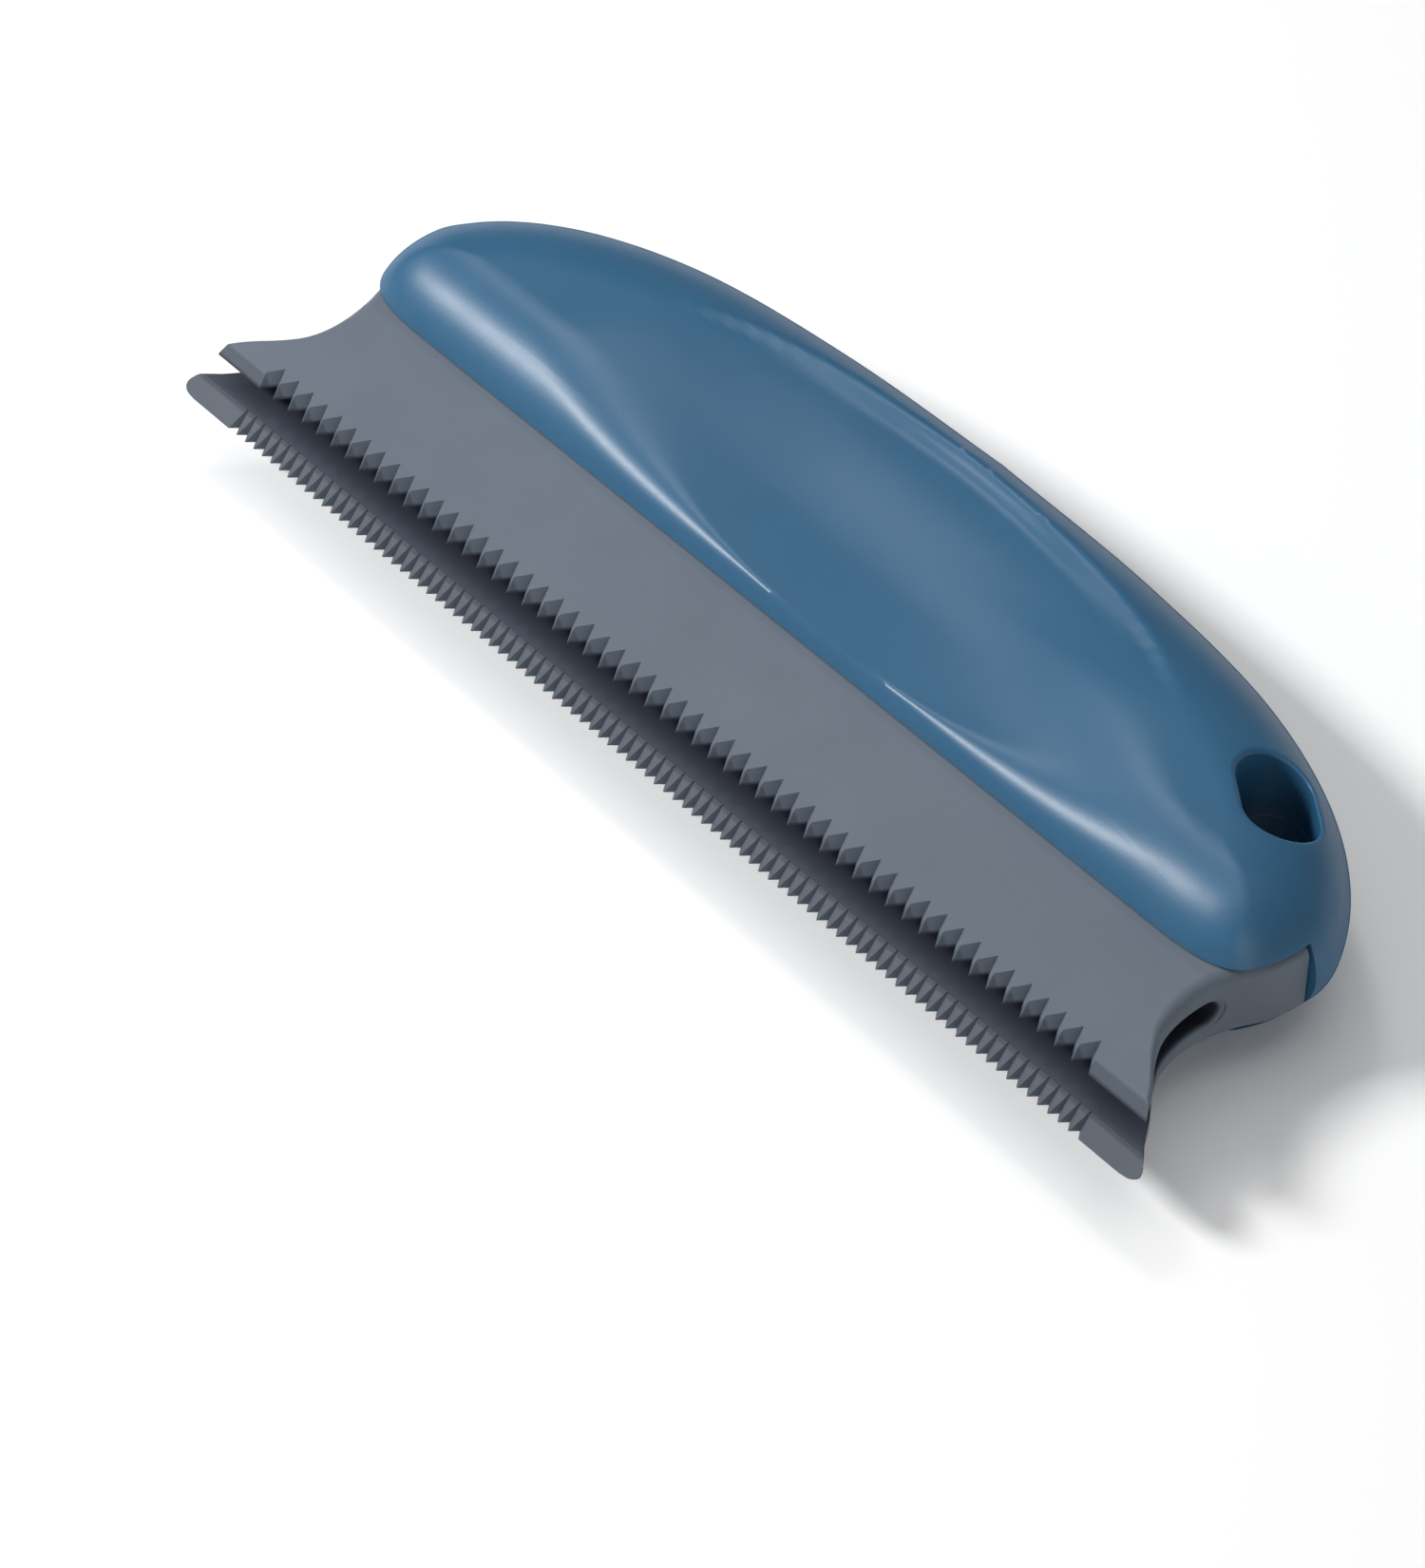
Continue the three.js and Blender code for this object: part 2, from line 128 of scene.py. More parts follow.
def make_object(name, points, faces, weld=1e-4):
    mesh = bpy.data.meshes.new(name)
    mesh.from_pydata(to_frame(points).tolist(), [], [list(map(int, f)) for f in faces])
    made = bmesh.new()
    made.from_mesh(mesh)
    bmesh.ops.remove_doubles(made, verts=made.verts, dist=weld)
    bmesh.ops.dissolve_degenerate(made, edges=made.edges, dist=weld)
    bmesh.ops.recalc_face_normals(made, faces=made.faces)
    made.to_mesh(mesh)
    made.free()
    thing = bpy.data.objects.new(name, mesh)
    bpy.context.collection.objects.link(thing)
    return thing


def apply_modifiers(thing):
    graph = bpy.context.evaluated_depsgraph_get()
    result = bpy.data.meshes.new_from_object(thing.evaluated_get(graph))
    thing.modifiers.clear()
    thing.data = result


def carve(body, cutters):
    """Cuts each cutter out of the body, then deletes the cutters."""
    for cutter in cutters:
        cut = body.modifiers.new("cut", "BOOLEAN")
        cut.operation = "DIFFERENCE"
        cut.solver = "EXACT"
        cut.object = cutter
    apply_modifiers(body)
    for cutter in cutters:
        bpy.data.objects.remove(cutter)


def finish_mesh(thing, sharp_angle):
    """Smooth shading with true edges kept, sizes in metres."""
    thing.data.transform(Matrix.Scale(MM, 4))
    thing.data.shade_smooth()
    thing.data.set_sharp_from_angle(angle=math.radians(sharp_angle))
    weighted = thing.modifiers.new("normals", "WEIGHTED_NORMAL")
    weighted.keep_sharp = True
    weighted.weight = 80
    apply_modifiers(thing)


def prism(name, section, start, end, axis):
    """Closed prism of a section; axis "x" takes (t, h) pairs, axis "t" takes (x, h) pairs."""
    count = len(section)
    points = []
    for place in (start, end):
        for a, h in section:
            points.append((place, h, a) if axis == "x" else (a, h, place))
    faces = [list(range(count)), list(range(2 * count - 1, count - 1, -1))]
    for i in range(count):
        j = (i + 1) % count
        faces.append((i, j, count + j, count + i))
    return make_object(name, points, faces)


def curve_through(points, steps):
    """Centripetal Catmull-Rom curve with a number of samples between two points."""
    p = np.array(points, float)
    p = np.vstack([2 * p[0] - p[1], p, 2 * p[-1] - p[-2]])
    samples = []
    for a, b, c, d in zip(p, p[1:], p[2:], p[3:]):
        ab, bc, cd = (np.linalg.norm(v) ** 0.5 for v in (b - a, c - b, d - c))
        leave = ((b - a) / ab - (c - a) / (ab + bc) + (c - b) / bc) * bc
        reach = ((c - b) / bc - (d - b) / (bc + cd) + (d - c) / cd) * bc
        for u in np.arange(steps) / steps:
            samples.append(
                (2 * u**3 - 3 * u**2 + 1) * b + (u**3 - 2 * u**2 + u) * leave
                + (3 * u**2 - 2 * u**3) * c + (u**3 - u**2) * reach
            )
    samples.append(p[-2])
    return np.array(samples)


def even(points, count):
    """Resamples a polyline at equal steps of its length."""
    lengths = np.concatenate([[0], np.cumsum(np.linalg.norm(np.diff(points, axis=0), axis=1))])
    wanted = np.linspace(0, lengths[-1], count)
    return np.column_stack([np.interp(wanted, lengths, points[:, k]) for k in (0, 1)])


# ---------------------------------------------------------------- handle surface
STEPS = 24
RIGHT_EDGE = curve_through(OUTLINE, STEPS)


def smooth(a, b, v):
    u = np.clip((v - a) / (b - a), 0, 1)
    return u * u * (3 - 2 * u)


def mix(a, b, u):
    return a + (b - a) * u


def rise(u):
    """Quarter-ellipse from 0 at the edge to 1 once u reaches 1."""
    rest = 1 - np.clip(u, 0, 1)
    return np.sqrt(1 - rest * rest)


def edge_distances(x, h):
    """Distance from each point to each straight bit of the outline, and that bit's height."""
    a, b = RIGHT_EDGE[:-1], RIGHT_EDGE[1:]
    run = b - a
    px = np.abs(x)[:, None] - a[None, :, 0]
    ph = h[:, None] - a[None, :, 1]
    along = np.clip((px * run[:, 0] + ph * run[:, 1]) / (run**2).sum(1), 0, 1)
    distance = np.hypot(px - along * run[:, 0], ph - along * run[:, 1])
    return distance, a[None, :, 1] + along * run[:, 1]


def soft_min(a, b, blend):
    """The smaller of two values, with the crossing rounded off over the blend."""
    return np.minimum(a, b) - np.maximum(blend - np.abs(a - b), 0) ** 2 / (4 * blend)


def dome_t(x, h, roll):
    """Forward distance of the handle's surface from the middle plane, without the recess."""
    edge_heights, widths = np.array(roll).T
    heights = []
    for start in range(0, len(x), 4000):
        distance, edge_h = edge_distances(x[start : start + 4000], h[start : start + 4000])
        width = np.interp(edge_h, edge_heights, widths)
        heights.append(HALF_THICK * rise(distance / width).min(1))
    return np.concatenate(heights)


def recess_floor(x, h):
    """Floor of the recess, bowed up at both ends, and how far along to its end each point is."""
    climb = smooth(20, 38, h)
    ends = np.abs(x - mix(*RECESS_MIDDLE, climb)) / mix(*RECESS_HALF, climb)
    level = mix(*RECESS_FLOOR, smooth(*RECESS_CLIMB_H, h))
    return level + (HALF_THICK - level) * ends**RECESS_BOWL, ends


def handle_t(x, h, roll):
    """The same with the thumb recess: a long dish under the crest, open towards the rim."""
    dome = dome_t(x, h, roll)
    top = RECESS_TOP_H - RECESS_TOP_DROP[1] * (x / RECESS_TOP_DROP[0]) ** 2
    step = np.maximum(dome_t(x, top, roll) - recess_floor(x, top)[0], 0)
    below = (top - h) / RECESS_WALL
    fall = (1 - np.clip(below, 0, 1)) ** RECESS_WALL_POWER
    wall = step * fall + WALL_RISE * np.maximum(-below, 0)
    floor, ends = recess_floor(x, h)
    rim_lip, crest_lip, end_lip = RECESS_LIP
    middle_lip = mix(rim_lip, crest_lip, smooth(24, 34, h))
    lip = mix(middle_lip, end_lip, smooth(0.1, 0.85, ends))
    return np.maximum(soft_min(dome, floor + wall, lip), 0)


# ---------------------------------------------------------------- handle halves
COLUMNS = 220
ROWS = 44
CREASE_SHARE = 0.24     # share of the way in where a row of quads runs, moved onto the recess's edge
CREASE_RANGE = (0.12, 0.5)
FOLD_CENTRE = (0.74, 29.0)  # share of the outline's x, and height, of the line where the rows meet
FLAT_RINGS = 5          # rings of quads round the hang hole: on the surface beside it,
ROUND_RINGS = 6         # and on its rounded mouth and again on its wall


def crease_shares(low, centre, roll):
    """Share of the way from rim to fold where each column crosses the recess's lower edge."""
    tries = np.linspace(0, 1, 161)
    at = mix(low[:, None, :], centre[:, None, :], tries[None, :, None]).reshape(-1, 2)
    floor, _ = recess_floor(at[:, 0], at[:, 1])
    above = (dome_t(at[:, 0], at[:, 1], roll) - floor).reshape(len(low), -1)
    shares = []
    for column in above:
        crossing = np.argmax(column > 0)
        if column[crossing] > 0 and crossing > 0:
            before, after = column[crossing - 1], column[crossing]
            shares.append(mix(tries[crossing - 1], tries[crossing], -before / (after - before)))
        else:
            shares.append(1)
    return np.clip(shares, *CREASE_RANGE)


def handle_grid(roll):
    """Points (x, h) on quads that follow the outline and meet on a line inside it."""
    corner = FOLD * STEPS
    low = RIGHT_EDGE[: corner + 1][::-1]
    high = RIGHT_EDGE[corner:]
    chains = []
    for chain in (low, high):
        mirrored = chain[::-1][1:] * [-1, 1]
        chains.append(even(np.vstack([chain, mirrored]), COLUMNS + 1))
    low, high = chains
    centre = np.column_stack([
        FOLD_CENTRE[0] * (low[:, 0] + high[:, 0]) / 2,
        np.full(COLUMNS + 1, FOLD_CENTRE[1]),
    ])
    shares = 1 - np.cos(np.pi / 2 * np.arange(ROWS + 1) / ROWS)
    fixed = np.argmin(np.abs(shares - CREASE_SHARE))
    beside_end = smooth(0.7, 0.95, np.abs(np.linspace(-1, 1, COLUMNS + 1)))
    crease = mix(crease_shares(low, centre, roll), shares[fixed], beside_end)
    rows = []
    for j, share in enumerate(shares):
        inner = (share - shares[fixed]) / (1 - shares[fixed])
        moved = crease * share / shares[fixed] if j <= fixed else mix(crease, 1, inner)
        rows.append(mix(low, centre, moved[:, None]))
    rows += [mix(high, centre, share) for share in shares[-2::-1]]
    return np.array(rows)


def slot_distance(x, h):
    """Distance from the hang hole's middle line, and the nearest point on that line."""
    line = HANG_B - HANG_A
    along = np.clip(((x - HANG_A[0]) * line[0] + (h - HANG_A[1]) * line[1]) / (line @ line), 0, 1)
    near = HANG_A + along[..., None] * line
    return np.hypot(x - near[..., 0], h - near[..., 1]), near


def handle_half(name, roll):
    """Half a handle, open at its lower edge for the head, with half of the hang hole."""
    def surface(at):
        return handle_t(at[:, 0], at[:, 1], roll)

    grid = handle_grid(roll)
    rows, columns = grid.shape[:2]
    points, faces = [], []

    def add(flat, t):
        start = len(points)
        points.extend(np.column_stack([flat, t]).tolist())
        return np.arange(start, start + len(flat))

    flat = grid.reshape(-1, 2)
    top = add(flat, surface(flat)).reshape(rows, columns)
    distance, _ = slot_distance(grid[..., 0], grid[..., 1])
    reach = np.argwhere(distance < HANG_R + HANG_FILLET + 1.0)
    (j0, i0), (j1, i1) = reach.min(0) - 1, reach.max(0) + 1
    for j in range(rows - 1):
        for i in range(columns - 1):
            if not (j0 <= j < j1 and i0 <= i < i1):
                faces.append((top[j, i], top[j, i + 1], top[j + 1, i + 1], top[j + 1, i]))

    block = [(j0, i) for i in range(i0, i1)] + [(j, i1) for j in range(j0, j1)]
    block += [(j1, i) for i in range(i1, i0, -1)] + [(j, i0) for j in range(j1, j0, -1)]
    rim = np.array([grid[j, i] for j, i in block])
    far, near = slot_distance(rim[:, 0], rim[:, 1])
    outward = (rim - near) / far[:, None]
    ring = np.array([top[j, i] for j, i in block])
    rings = []
    for k in range(1, FLAT_RINGS + 1):
        offset = mix(far, HANG_R + HANG_FILLET, k / FLAT_RINGS)
        at = near + outward * offset[:, None]
        rings.append((at, surface(at)))
    for k in range(1, ROUND_RINGS + 1):
        angle = math.pi / 2 * k / ROUND_RINGS
        at = near + outward * (HANG_R + HANG_FILLET * (1 - math.sin(angle)))
        drop = HANG_FILLET * (1 - math.cos(angle))
        rings.append((at, surface(at) - drop))
    wall = near + outward * HANG_R
    lip = rings[-1][1]
    for k in range(1, ROUND_RINGS + 1):
        rings.append((wall, mix(lip, SEAM_BEVEL, k / ROUND_RINGS)))
    rings.append((near + outward * (HANG_R + SEAM_BEVEL), np.zeros(len(wall))))
    for at, t in rings:
        inner = add(at, t)
        for a in range(len(ring)):
            b = (a + 1) % len(ring)
            faces.append((ring[a], ring[b], inner[b], inner[a]))
        ring = inner

    border = [(0, i) for i in range(columns)] + [(rows - 1, i) for i in range(columns - 2, 0, -1)]
    rim = np.array([grid[j, i] for j, i in border])
    upper = np.array([top[j, i] for j, i in border])
    lower = add(rim, np.zeros(len(rim)))
    for a in range(len(border)):
        b = (a + 1) % len(border)
        faces.append((upper[a], upper[b], lower[b], lower[a]))

    thing = make_object(name, points, faces)
    made = bmesh.new()
    made.from_mesh(thing.data)
    open_edges = [e for e in made.edges if e.is_boundary]
    bmesh.ops.triangle_fill(made, edges=open_edges, use_beauty=True)
    bmesh.ops.recalc_face_normals(made, faces=made.faces)
    made.to_mesh(thing.data)
    made.free()
    carve(thing, [
        prism("channel", [(-CHANNEL_T, 0), (CHANNEL_T, 0), (CHANNEL_T, MOUTH_H), (-CHANNEL_T, MOUTH_H)],
              -100, 100, "x"),
        prism("spine room", [(-SPINE_HALF_T, 20), (SPINE_HALF_T, 20), (SPINE_HALF_T, SPINE_TOP_H),
                             (-SPINE_HALF_T, SPINE_TOP_H)], SPINE_X[0], SPINE_X[1], "x"),
    ])
    return thing


# ---------------------------------------------------------------- rubber head
def head_core():
    """Block with a tapered section, concave ends and rounded upright corners."""
    profile = curve_through(HEAD_END, 6)
    rings, turn = [], 8
    for x_end, h in profile:
        corner = mix(*HEAD_CORNER_R, smooth(2, 14, h))
        taper = min(1.0, (h - COARSE["front"][1]) / (HEAD_KNEE_H - COARSE["front"][1]))
        front = mix(COARSE["front"][0], HEAD_T, taper)
        taper = min(1.0, (h - FINE["back"][1]) / (HEAD_KNEE_H - FINE["back"][1]))
        back = mix(-FINE["back"][0], HEAD_T, taper)
        ring = []
        corners = ((1, 1, front, 0), (-1, 1, front, 90), (-1, -1, back, 180), (1, -1, back, 270))
        for sx, st, depth, start in corners:
            for k in range(turn + 1):
                angle = math.radians(start + 90 * k / turn)
                ring.append((
                    sx * (x_end - corner) + corner * math.cos(angle),
                    h,
                    st * (depth - corner) + corner * math.sin(angle),
                ))
        rings.append(ring)
    count = len(rings[0])
    points = [p for ring in rings for p in ring]
    faces = [list(range(count)), list(range(len(points) - 1, len(points) - count - 1, -1))]
    for r in range(len(rings) - 1):
        for i in range(count):
            j = (i + 1) % count
            faces.append((r * count + i, r * count + j, (r + 1) * count + j, (r + 1) * count + i))
    return make_object("comb_rubber", points, faces)


def slot_cutter():
    """Slot between the lips, with a rounded top and rounded ends."""
    profile = curve_through(HEAD_END, 6)
    section, normals = [(SLOT_T, -20.0)], [(1.0, 0.0)]
    for h in np.linspace(-6, SLOT_TOP_H - SLOT_T, 24):
        section.append((SLOT_T, h))
        normals.append((1.0, 0.0))
    for k in range(1, 16):
        angle = math.pi * k / 16
        section.append((SLOT_T * math.cos(angle), SLOT_TOP_H - SLOT_T + SLOT_T * math.sin(angle)))
        normals.append((math.cos(angle), math.sin(angle)))
    for h in np.linspace(SLOT_TOP_H - SLOT_T, -6, 24):
        section.append((-SLOT_T, h))
        normals.append((-1.0, 0.0))
    section.append((-SLOT_T, -20.0))
    normals.append((-1.0, 0.0))
    section, normals = np.array(section), np.array(normals)
    ends = np.interp(section[:, 1], profile[:, 1], profile[:, 0])
    round_end = mix(*SLOT_END_R, smooth(4, 15, section[:, 1]))
    steps = [(3.0, 1.5)]
    for k in range(7):
        angle = math.pi / 2 * k / 6
        steps.append((0.02 if k == 0 else math.cos(angle) - 1, 1 - math.sin(angle)))
    sides = []
    for sign in (1, -1):
        part = []
        for out, grow in steps:
            at = section + normals * (round_end * grow)[:, None]
            reach = ends + (out if out > 0 else out * round_end)
            part.append(np.column_stack([sign * reach, at[:, 1], at[:, 0]]))
        sides.append(part)
    loops = sides[0] + sides[1][::-1]
    count = len(section)
    points = np.vstack(loops)
    faces = [list(range(count)), list(range(len(points) - 1, len(points) - count - 1, -1))]
    for r in range(len(loops) - 1):
        for i in range(count):
            j = (i + 1) % count
            faces.append((r * count + i, r * count + j, (r + 1) * count + j, (r + 1) * count + i))
    return make_object("slot", points, faces)


def tooth_cutter(name, lip):
    """Row of V-shaped grooves that run down a lip's slope from front to back."""
    slope = (lip["root_front"] - lip["root_back"]) / (lip["front"][0] - lip["back"][0])
    zig = lip["depth"] * lip["pitch"] / (lip["pitch"] - TIP_LAND)
    start = lip["shift"] - lip["count"] * lip["pitch"] / 2
    low = lip["root_back"] - zig
    section = [(start, -30.0), (start, low)]
    for i in range(lip["count"]):
        section.append((start + (i + 0.5) * lip["pitch"], lip["root_back"]))
        section.append((start + (i + 1) * lip["pitch"], low))
    section.append((start + lip["count"] * lip["pitch"], -30.0))
    reach = (0.5, 1.0) if lip["back"][0] > 0 else (1.0, 0.5)
    t0, t1 = lip["back"][0] - reach[0], lip["front"][0] + reach[1]
    count = len(section)
    points = []
    for t in (t0, t1):
        for x, h in section:
            points.append((x, h + slope * (t - lip["back"][0]), t))
    faces = [list(range(count)), list(range(2 * count - 1, count - 1, -1))]
    for i in range(count):
        j = (i + 1) % count
        faces.append((i, j, count + j, count + i))
    return make_object(name, points, faces)


def under_cut(name, lip, side):
    """Everything below a lip's slope, on that lip's side of the slot."""
    (tf, hf), (tb, hb) = lip["front"], lip["back"]
    slope = (hf - hb) / (tf - tb)
    far = 12 * side
    return prism(name, [(0, hb - slope * tb), (far, hb + slope * (far - tb)), (far, -40), (0, -40)],
                 -120, 120, "x")


def comb_rubber():
    """The head: a block with a slot, two sloping lips cut into teeth, and room for the spine."""
    thing = head_core()
    room, floor_h, over_h = SPINE_HALF_T, POCKET_FLOOR_H, HEAD_TOP_H + 10
    carve(thing, [
        slot_cutter(),
        under_cut("under front", COARSE, 1),
        under_cut("under back", FINE, -1),
    ])
    carve(thing, [
        tooth_cutter("coarse", COARSE),
        tooth_cutter("fine", FINE),
        prism("spine pocket", [(-room, floor_h), (room, floor_h), (room, over_h), (-room, over_h)],
              -POCKET_X, POCKET_X, "x"),
    ])
    return thing


# ---------------------------------------------------------------- materials
# a cloudy noise runs between each pair of tones
BLUE_TONES = [(0.3, (0.024, 0.098, 0.188)), (0.7, (0.028, 0.107, 0.202))]
GREY_TONES = [(0.3, (0.108, 0.131, 0.163)), (0.7, (0.122, 0.147, 0.181))]
SPINE_TONES = [(0.3, (0.030, 0.036, 0.044)), (0.7, (0.038, 0.046, 0.056))]
# painted shade: near-black colour for the slot between the lips, standing in for its shade
SLOT_SHADE_COLOUR = (0.016, 0.019, 0.032)
SLOPE_SHADE = 0.62       # painted shade: brightness of the rubber's colour on the toothed slopes
SLOPE_SHADE_FADE = 0.3        # height over which that painted shade ends, under the front edge
MOUTH_UNSHADED_SHARE = 0.3        # share of the rubber's own colour at the slot's mouth, the rest painted slot shade
MOUTH_SHADE_DEPTH = 4.5       # depth at which it's all painted slot shade
SLOT_SHADE_EDGE = (0.05, 0.4)     # distances from the slot's wall where its painted shade fades out


def node_material(name):
    material = bpy.data.materials.new(name)
    material.use_nodes = True
    return material, material.node_tree.nodes, material.node_tree.links


def noise(nodes, links, scale, detail=4.0, roughness=0.55):
    place = nodes.new("ShaderNodeTexCoord")
    made = nodes.new("ShaderNodeTexNoise")
    made.inputs["Scale"].default_value = scale
    made.inputs["Detail"].default_value = detail
    made.inputs["Roughness"].default_value = roughness
    links.new(place.outputs["Object"], made.inputs["Vector"])
    return made


def ramp(nodes, links, source, stops):
    made = nodes.new("ShaderNodeValToRGB")
    elements = made.color_ramp.elements
    while len(elements) < len(stops):
        elements.new(0.5)
    for element, (place, colour) in zip(elements, stops):
        element.position = place
        element.color = (*colour, 1)
    links.new(source, made.inputs["Fac"])
    return made


def mapped(nodes, links, source, low, high):
    made = nodes.new("ShaderNodeMapRange")
    made.inputs["To Min"].default_value = low
    made.inputs["To Max"].default_value = high
    links.new(source, made.inputs["Value"])
    return made


def bump(nodes, links, shader, source, distance, strength):
    made = nodes.new("ShaderNodeBump")
    made.inputs["Distance"].default_value = distance
    made.inputs["Strength"].default_value = strength
    links.new(source, made.inputs["Height"])
    links.new(made.outputs["Normal"], shader.inputs["Normal"])


def blue_plastic():
    material, nodes, links = node_material("blue_plastic")
    shader = nodes["Principled BSDF"]
    cloud = noise(nodes, links, 45, 3)
    tone = ramp(nodes, links, cloud.outputs["Fac"], BLUE_TONES)
    links.new(tone.outputs["Color"], shader.inputs["Base Color"])
    scuff = noise(nodes, links, 700, 5, 0.7)
    rough = mapped(nodes, links, scuff.outputs["Fac"], 0.34, 0.40)
    links.new(rough.outputs["Result"], shader.inputs["Roughness"])
    facing = nodes.new("ShaderNodeLayerWeight")
    facing.inputs["Blend"].default_value = 0.35
    gloss = mapped(nodes, links, facing.outputs["Facing"], 0.5, 0)
    gloss.inputs["From Max"].default_value = 0.8
    links.new(gloss.outputs["Result"], shader.inputs["Specular IOR Level"])
    grain = noise(nodes, links, 2600, 2)
    bump(nodes, links, shader, grain.outputs["Fac"], 0.00003, 0.25)
    return material


def math_node(nodes, links, operation, first, second):
    """Maths on a socket and a second socket or number; returns the result's socket."""
    made = nodes.new("ShaderNodeMath")
    made.operation = operation
    links.new(first, made.inputs[0])
    if isinstance(second, (int, float)):
        made.inputs[1].default_value = second
    else:
        links.new(second, made.inputs[1])
    return made.outputs["Value"]


def grey_rubber():
    """Grey rubber with painted shade: darker on the toothed slopes, darkest in the slot between the lips.
    """
    material, nodes, links = node_material("grey_rubber")
    shader = nodes["Principled BSDF"]
    cloud = noise(nodes, links, 60, 5, 0.6)
    tone = ramp(nodes, links, cloud.outputs["Fac"], GREY_TONES)
    place = nodes.new("ShaderNodeTexCoord")
    split = nodes.new("ShaderNodeSeparateXYZ")
    links.new(place.outputs["Object"], split.inputs["Vector"])
    sideways = math_node(nodes, links, "SUBTRACT", split.outputs["Z"], HALF_THICK * MM)
    into_arc = math_node(nodes, links, "SUBTRACT", split.outputs["Y"], (SLOT_TOP_H - SLOT_T - MID_H) * MM)
    into_arc = math_node(nodes, links, "MAXIMUM", into_arc, 0)
    from_slot = nodes.new("ShaderNodeCombineXYZ")
    links.new(sideways, from_slot.inputs["X"])
    links.new(into_arc, from_slot.inputs["Y"])
    radius = nodes.new("ShaderNodeVectorMath")
    radius.operation = "LENGTH"
    links.new(from_slot.outputs["Vector"], radius.inputs[0])
    # painted shade in the slot: its colour fills the slot and fades out just past its wall
    beside = mapped(nodes, links, radius.outputs["Value"], 0, 1)
    beside.inputs["From Min"].default_value = (SLOT_T + SLOT_SHADE_EDGE[0]) * MM
    beside.inputs["From Max"].default_value = (SLOT_T + SLOT_SHADE_EDGE[1]) * MM
    # painted shade at the slot's mouth: part of the rubber's colour kept there, none deeper in
    mouth = mapped(nodes, links, split.outputs["Y"], MOUTH_UNSHADED_SHARE, 0)
    mouth.inputs["From Min"].default_value = (FINE["front"][1] - MID_H) * MM
    mouth.inputs["From Max"].default_value = (FINE["front"][1] + MOUTH_SHADE_DEPTH - MID_H) * MM
    unshaded_share = math_node(nodes, links, "MAXIMUM", beside.outputs["Result"], mouth.outputs["Result"])
    # painted shade on the toothed slopes: the rubber's colour darkened below each lip's front edge
    slopes = []
    for lip in (FINE, COARSE):
        above = mapped(nodes, links, split.outputs["Y"], SLOPE_SHADE, 1)
        above.inputs["From Min"].default_value = (lip["front"][1] - SLOPE_SHADE_FADE - MID_H) * MM
        above.inputs["From Max"].default_value = (lip["front"][1] - MID_H) * MM
        slopes.append(above.outputs["Result"])
    slope_shade_pick = nodes.new("ShaderNodeMix")
    links.new(math_node(nodes, links, "GREATER_THAN", sideways, 0), slope_shade_pick.inputs["Factor"])
    links.new(slopes[0], slope_shade_pick.inputs["A"])
    links.new(slopes[1], slope_shade_pick.inputs["B"])
    slope_shaded_tone = nodes.new("ShaderNodeVectorMath")
    slope_shaded_tone.operation = "SCALE"
    links.new(tone.outputs["Color"], slope_shaded_tone.inputs[0])
    links.new(slope_shade_pick.outputs["Result"], slope_shaded_tone.inputs["Scale"])
    # mixes the painted slot shade with the rubber's colour
    blend = nodes.new("ShaderNodeMix")
    blend.data_type = "RGBA"
    blend.inputs["A"].default_value = (*SLOT_SHADE_COLOUR, 1)
    links.new(unshaded_share, blend.inputs["Factor"])
    links.new(slope_shaded_tone.outputs["Vector"], blend.inputs["B"])
    links.new(blend.outputs["Result"], shader.inputs["Base Color"])
    speck = noise(nodes, links, 900, 4, 0.7)
    rough = mapped(nodes, links, speck.outputs["Fac"], 0.55, 0.72)
    links.new(rough.outputs["Result"], shader.inputs["Roughness"])
    shader.inputs["Specular IOR Level"].default_value = 0.3
    grain = noise(nodes, links, 1800, 3)
    bump(nodes, links, shader, grain.outputs["Fac"], 0.00004, 0.3)
    return material


def dark_plastic():
    material, nodes, links = node_material("dark_plastic")
    shader = nodes["Principled BSDF"]
    cloud = noise(nodes, links, 200, 4)
    tone = ramp(nodes, links, cloud.outputs["Fac"], SPINE_TONES)
    links.new(tone.outputs["Color"], shader.inputs["Base Color"])
    rough = mapped(nodes, links, cloud.outputs["Fac"], 0.5, 0.65)
    links.new(rough.outputs["Result"], shader.inputs["Roughness"])
    bump(nodes, links, shader, cloud.outputs["Fac"], 0.00003, 0.3)
    return material


# ---------------------------------------------------------------- assembly
blue = blue_plastic()
front = handle_half("handle_front", FRONT_ROLL)
rear = handle_half("handle_rear", REAR_ROLL)
rear.data.transform(Matrix.Translation((0, 0, 2 * HALF_THICK)) @ Matrix.Scale(-1, 4, (0, 0, 1)))
rear.data.flip_normals()
head = comb_rubber()

for piece, node, slot, material, sharp_angle in (
    (front, "handle_front_shell", "handle", blue, 40),
    (rear, "handle_rear_shell", "handle", blue, 40),
    (head, "comb_head", "head", grey_rubber(), 32),
):
    finish_mesh(piece, sharp_angle)
    piece.data.materials.clear()
    piece.data.materials.append(material)
    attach(piece, "root")
    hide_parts(node)

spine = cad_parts["head_spine"]
for place in range(len(spine.material_slots)):
    spine.material_slots[place].material = dark_plastic()


# ---------------------------------------------------------------- floor, light, camera
def build_floor():
    mesh = bpy.data.meshes.new("floor")
    reach = 3.0
    corners = [(-reach, -reach, 0), (reach, -reach, 0), (reach, reach, 0), (-reach, reach, 0)]
    mesh.from_pydata(corners, [], [(0, 1, 2, 3)])
    floor = bpy.data.objects.new("floor", mesh)
    bpy.context.collection.objects.link(floor)
    material, nodes, links = node_material("pale_floor")
    shader = nodes["Principled BSDF"]
    shader.inputs["Base Color"].default_value = (0.92, 0.92, 0.92, 1)
    shader.inputs["Roughness"].default_value = 0.9
    shader.inputs["Specular IOR Level"].default_value = 0.1
    mesh.materials.append(material)


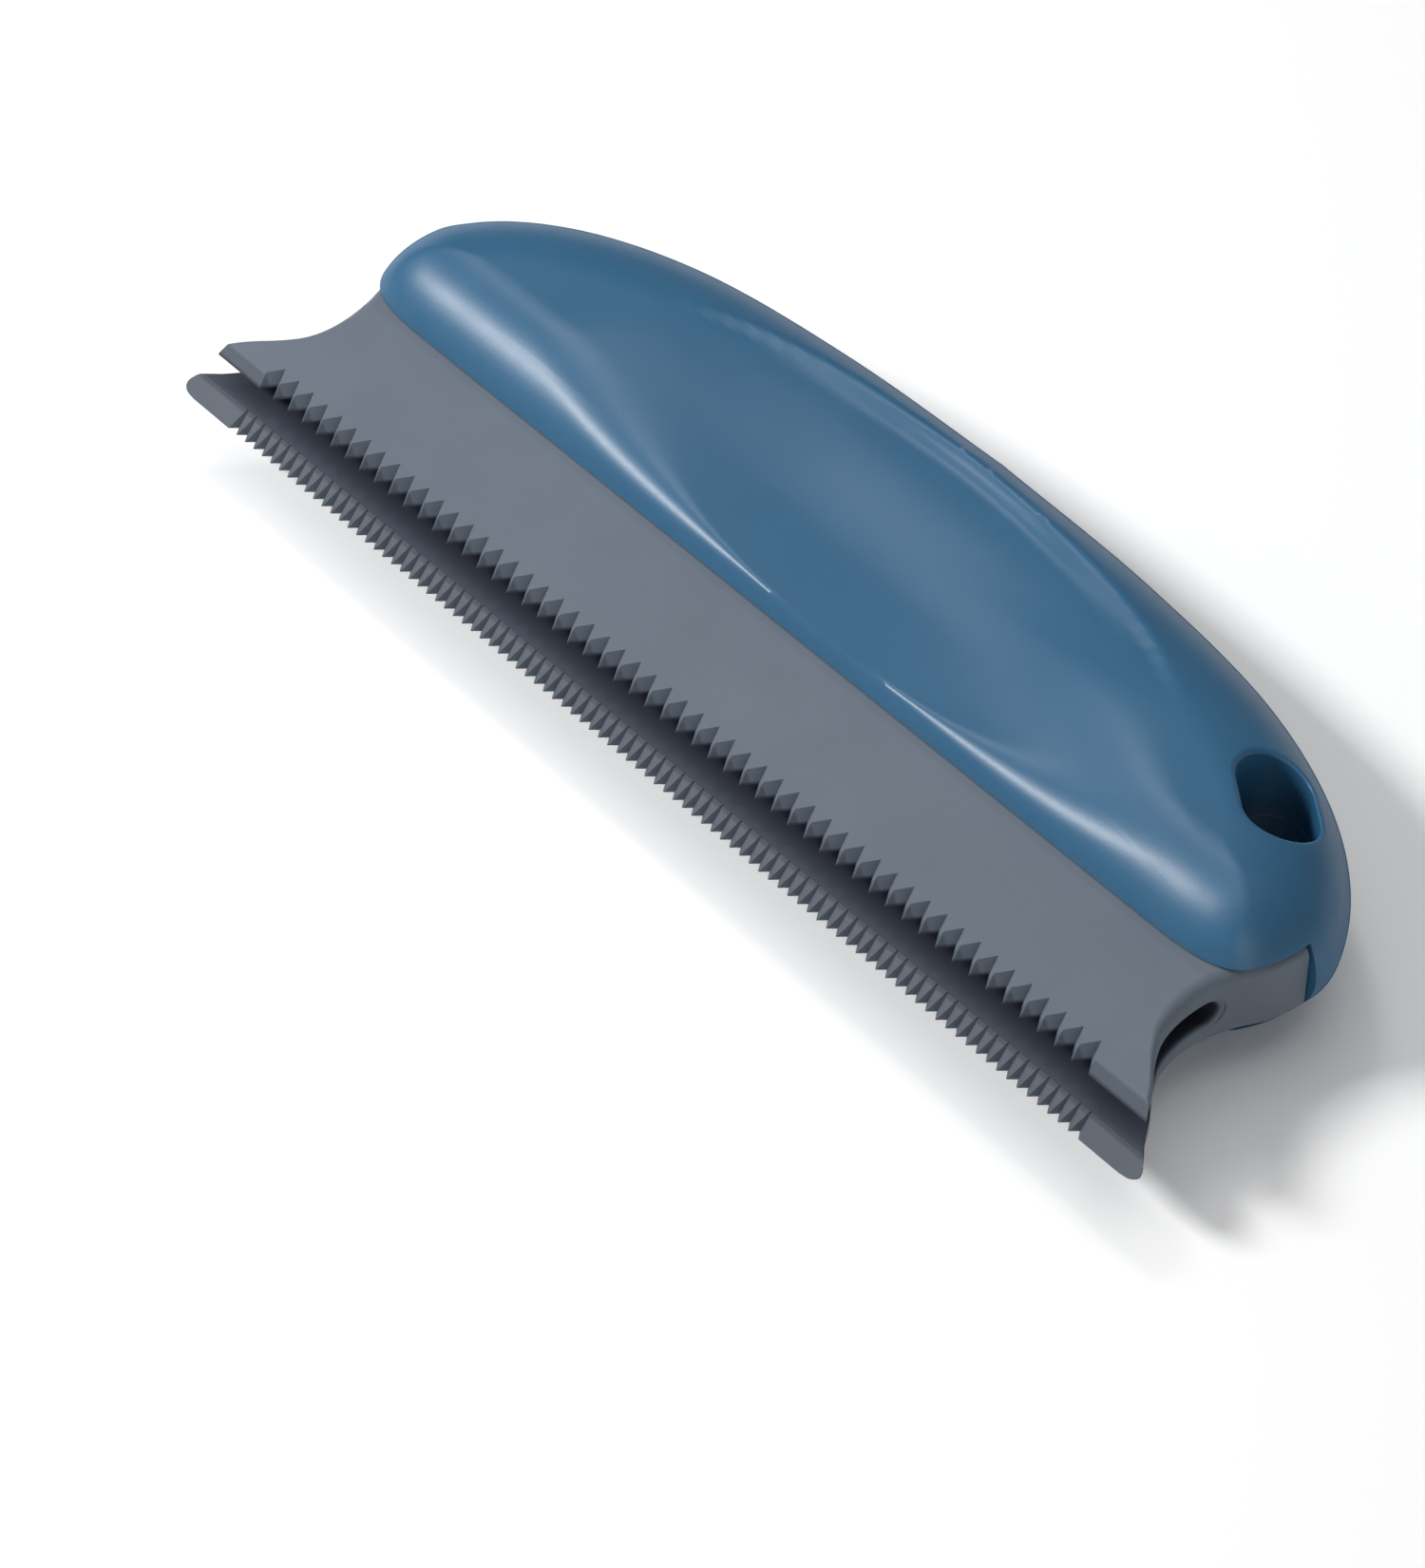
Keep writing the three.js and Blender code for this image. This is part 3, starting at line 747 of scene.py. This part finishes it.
def area_light(name, direction, distance, along_x, across, power):
    """Soft box that faces the tool, its long side parallel to the tool."""
    light = bpy.data.lights.new(name, "AREA")
    light.shape = "RECTANGLE"
    light.size, light.size_y = along_x, across
    light.energy = power
    lamp = bpy.data.objects.new(name, light)
    back = Vector(direction).normalized()
    side = (Vector((1, 0, 0)) - back * back.x).normalized()
    turn = Matrix((side, back.cross(side), back)).transposed()
    lamp.matrix_world = Matrix.Translation(back * distance) @ turn.to_4x4()
    bpy.context.collection.objects.link(lamp)


def build_camera():
    azimuth, elevation = math.radians(48.6), math.radians(47.05)
    back = Vector((
        math.sin(azimuth) * math.cos(elevation),
        -math.cos(azimuth) * math.cos(elevation),
        math.sin(elevation),
    ))
    camera = bpy.data.cameras.new("camera")
    camera.sensor_width = 36
    camera.lens = 139.9
    camera.shift_x = 0.0391
    camera.shift_y = -0.0333
    camera.clip_start, camera.clip_end = 0.05, 20
    shown = bpy.data.objects.new("camera", camera)
    shown.location = (0.3568, -0.3415, 0.5226)
    shown.rotation_mode = "QUATERNION"
    shown.rotation_quaternion = (-back).to_track_quat("-Z", "Y")
    bpy.context.collection.objects.link(shown)
    bpy.context.scene.camera = shown


def build_light():
    world = bpy.data.worlds.new("studio")
    world.use_nodes = True
    nodes, links = world.node_tree.nodes, world.node_tree.links
    place = nodes.new("ShaderNodeTexCoord")
    split = nodes.new("ShaderNodeSeparateXYZ")
    links.new(place.outputs["Generated"], split.inputs["Vector"])
    height = mapped(nodes, links, split.outputs["Z"], 0.2, 0.24)
    links.new(height.outputs["Result"], nodes["Background"].inputs["Strength"])
    nodes["Background"].inputs["Color"].default_value = (0.97, 0.98, 1.0, 1)
    bpy.context.scene.world = world
    area_light("key", (-0.51, -0.535, 0.674), 1.0, 0.32, 0.17, 8.8)
    area_light("sheen", (-0.51, 0.2, 0.84), 1.0, 0.2, 0.16, 1.3)
    area_light("top", (0.0, 0.08, 1.0), 1.2, 1.1, 1.1, 3.7)
    area_light("fill", (0.8, -0.45, 0.4), 1.2, 0.8, 0.6, 1.8)
    bpy.context.scene.view_settings.view_transform = "Standard"


build_floor()
build_light()
build_camera()
